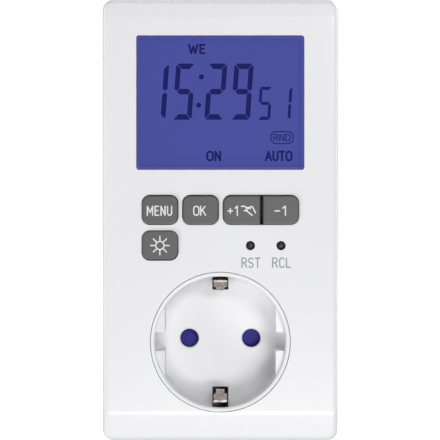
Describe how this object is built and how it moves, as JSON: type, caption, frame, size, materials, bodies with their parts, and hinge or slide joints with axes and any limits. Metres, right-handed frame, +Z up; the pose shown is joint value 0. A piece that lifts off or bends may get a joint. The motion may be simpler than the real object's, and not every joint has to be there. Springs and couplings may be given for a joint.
{
  "type": "plug-in timer switch",
  "caption": "Plug-in timer switch: white housing with display and keys over an earthed round socket, and the matching plug on the rear.",
  "frame": {"origin": "centre of the plug's end face, midway between its two pins and on the socket's axis", "axes": "+Y out of the plug towards the wall, +Z up to the display, +X to the right as the front is seen"},
  "size_m": [0.07, 0.0752, 0.1313],
  "materials": {
    "case_plastic": "smooth white moulding",
    "insert_plastic": "smooth white moulding",
    "window_acrylic": "clear, faint violet tint",
    "display_glass": "violet liquid-crystal cell",
    "frame_plastic": "moulded",
    "guide_acrylic": "clear with a diffusing back",
    "contact_rubber": "layered elastomer",
    "lamp_resin": "moulded lamp",
    "key_plastic": "satin grey moulding",
    "small_key_plastic": "dark moulding",
    "silicone_rubber": "moulded silicone",
    "board_laminate": "green solder mask",
    "chip_resin": "moulded resin",
    "can_metal": "drawn can",
    "socket_plastic": "moulded connector",
    "ribbon_skin": "flat cable",
    "film_capacitor_plastic": "potted box",
    "varistor_coat": "dipped coating",
    "resistor_coat": "cement coating",
    "battery_sleeve": "shrink sleeve",
    "tin_plate": "tinned strip",
    "relay_plastic": "moulded",
    "bobbin_plastic": "moulded",
    "copper_wire": "enamelled copper wire",
    "relay_steel": "plated sheet",
    "shutter_plastic": "violet-blue moulding",
    "spring_steel": "spring wire",
    "carrier_plastic": "heat-resistant moulding",
    "contact_brass": "stamped strip",
    "earth_metal": "plated spring strip",
    "pin_nickel": "nickel-plated brass",
    "screw_steel": "zinc-plated"
  },
  "bodies": {
    "root": {"front_cover": "case_plastic", "rear_shell": "case_plastic", "plug_body": "case_plastic", "socket_insert": "insert_plastic", "display_window": "window_acrylic", "lcd_glass": "display_glass", "display_frame": "frame_plastic", "light_guide": "guide_acrylic", "elastomer_strip": "contact_rubber", "backlight_leds": "lamp_resin", "menu_dome": "silicone_rubber", "confirm_dome": "silicone_rubber", "plus_dome": "silicone_rubber", "minus_dome": "silicone_rubber", "light_dome": "silicone_rubber", "reset_dome": "silicone_rubber", "recall_dome": "silicone_rubber", "control_board": "board_laminate", "power_board": "board_laminate", "controller_chip": "chip_resin", "rectifier_diodes": "chip_resin", "clock_crystal": "can_metal", "smoothing_capacitor": "can_metal", "ribbon_sockets": "socket_plastic", "ribbon_cable": "ribbon_skin", "dropper_capacitor": "film_capacitor_plastic", "varistor": "varistor_coat", "fusible_resistor": "resistor_coat", "backup_battery": "battery_sleeve", "battery_tab": "tin_plate", "relay_base": "relay_plastic", "relay_cover": "relay_plastic", "relay_bobbin": "bobbin_plastic", "relay_winding": "copper_wire", "relay_yoke": "relay_steel", "shutter_spring": "spring_steel", "contact_carrier": "carrier_plastic", "pin_clamp": "carrier_plastic", "live_contact": "contact_brass", "neutral_contact": "contact_brass", "live_lead": "contact_brass", "neutral_lead": "contact_brass", "earth_clips": "earth_metal", "plug_earth_strap": "earth_metal", "live_pin": "pin_nickel", "neutral_pin": "pin_nickel", "case_screws": "screw_steel", "board_screws": "screw_steel", "inner_screws": "screw_steel"},
    "menu_key": {"menu_key": "key_plastic"},
    "confirm_key": {"confirm_key": "key_plastic"},
    "plus_key": {"plus_key": "key_plastic"},
    "minus_key": {"minus_key": "key_plastic"},
    "light_key": {"light_key": "key_plastic"},
    "reset_key": {"reset_key": "small_key_plastic"},
    "recall_key": {"recall_key": "small_key_plastic"},
    "shutter": {"shutter": "shutter_plastic"},
    "relay_armature": {"relay_armature": "relay_steel"}
  },
  "joints": [
    {"name": "menu_press", "type": "slide", "parent": "root", "child": "menu_key", "axis": [0, 1, 0], "range_m": [0, 0.0011], "stiffness_N_per_m": 800, "springref_m": -0.0006, "deforming": ["menu_dome"]},
    {"name": "confirm_press", "type": "slide", "parent": "root", "child": "confirm_key", "axis": [0, 1, 0], "range_m": [0, 0.0011], "stiffness_N_per_m": 800, "springref_m": -0.0006, "deforming": ["confirm_dome"]},
    {"name": "plus_press", "type": "slide", "parent": "root", "child": "plus_key", "axis": [0, 1, 0], "range_m": [0, 0.0011], "stiffness_N_per_m": 800, "springref_m": -0.0006, "deforming": ["plus_dome"]},
    {"name": "minus_press", "type": "slide", "parent": "root", "child": "minus_key", "axis": [0, 1, 0], "range_m": [0, 0.0011], "stiffness_N_per_m": 800, "springref_m": -0.0006, "deforming": ["minus_dome"]},
    {"name": "light_press", "type": "slide", "parent": "root", "child": "light_key", "axis": [0, 1, 0], "range_m": [0, 0.0011], "stiffness_N_per_m": 800, "springref_m": -0.0006, "deforming": ["light_dome"]},
    {"name": "reset_press", "type": "slide", "parent": "root", "child": "reset_key", "axis": [0, 1, 0], "range_m": [0, 0.0011], "stiffness_N_per_m": 800, "springref_m": -0.0006, "deforming": ["reset_dome"]},
    {"name": "recall_press", "type": "slide", "parent": "root", "child": "recall_key", "axis": [0, 1, 0], "range_m": [0, 0.0011], "stiffness_N_per_m": 800, "springref_m": -0.0006, "deforming": ["recall_dome"]},
    {"name": "shutter_turn", "type": "hinge", "parent": "root", "child": "shutter", "pos_m": [0, -0.034, 0], "axis": [0, -1, 0], "range_deg": [0, 38], "stiffness_Nm_per_rad": 0.0015, "springref_deg": -14.32, "deforming": ["shutter_spring"]},
    {"name": "armature_tilt", "type": "hinge", "parent": "root", "child": "relay_armature", "pos_m": [0.0108, -0.0372, 0.044], "axis": [0, 0, 1], "range_deg": [0, 3.4], "stiffness_Nm_per_rad": 0.02, "springref_deg": -5.73}
  ]
}
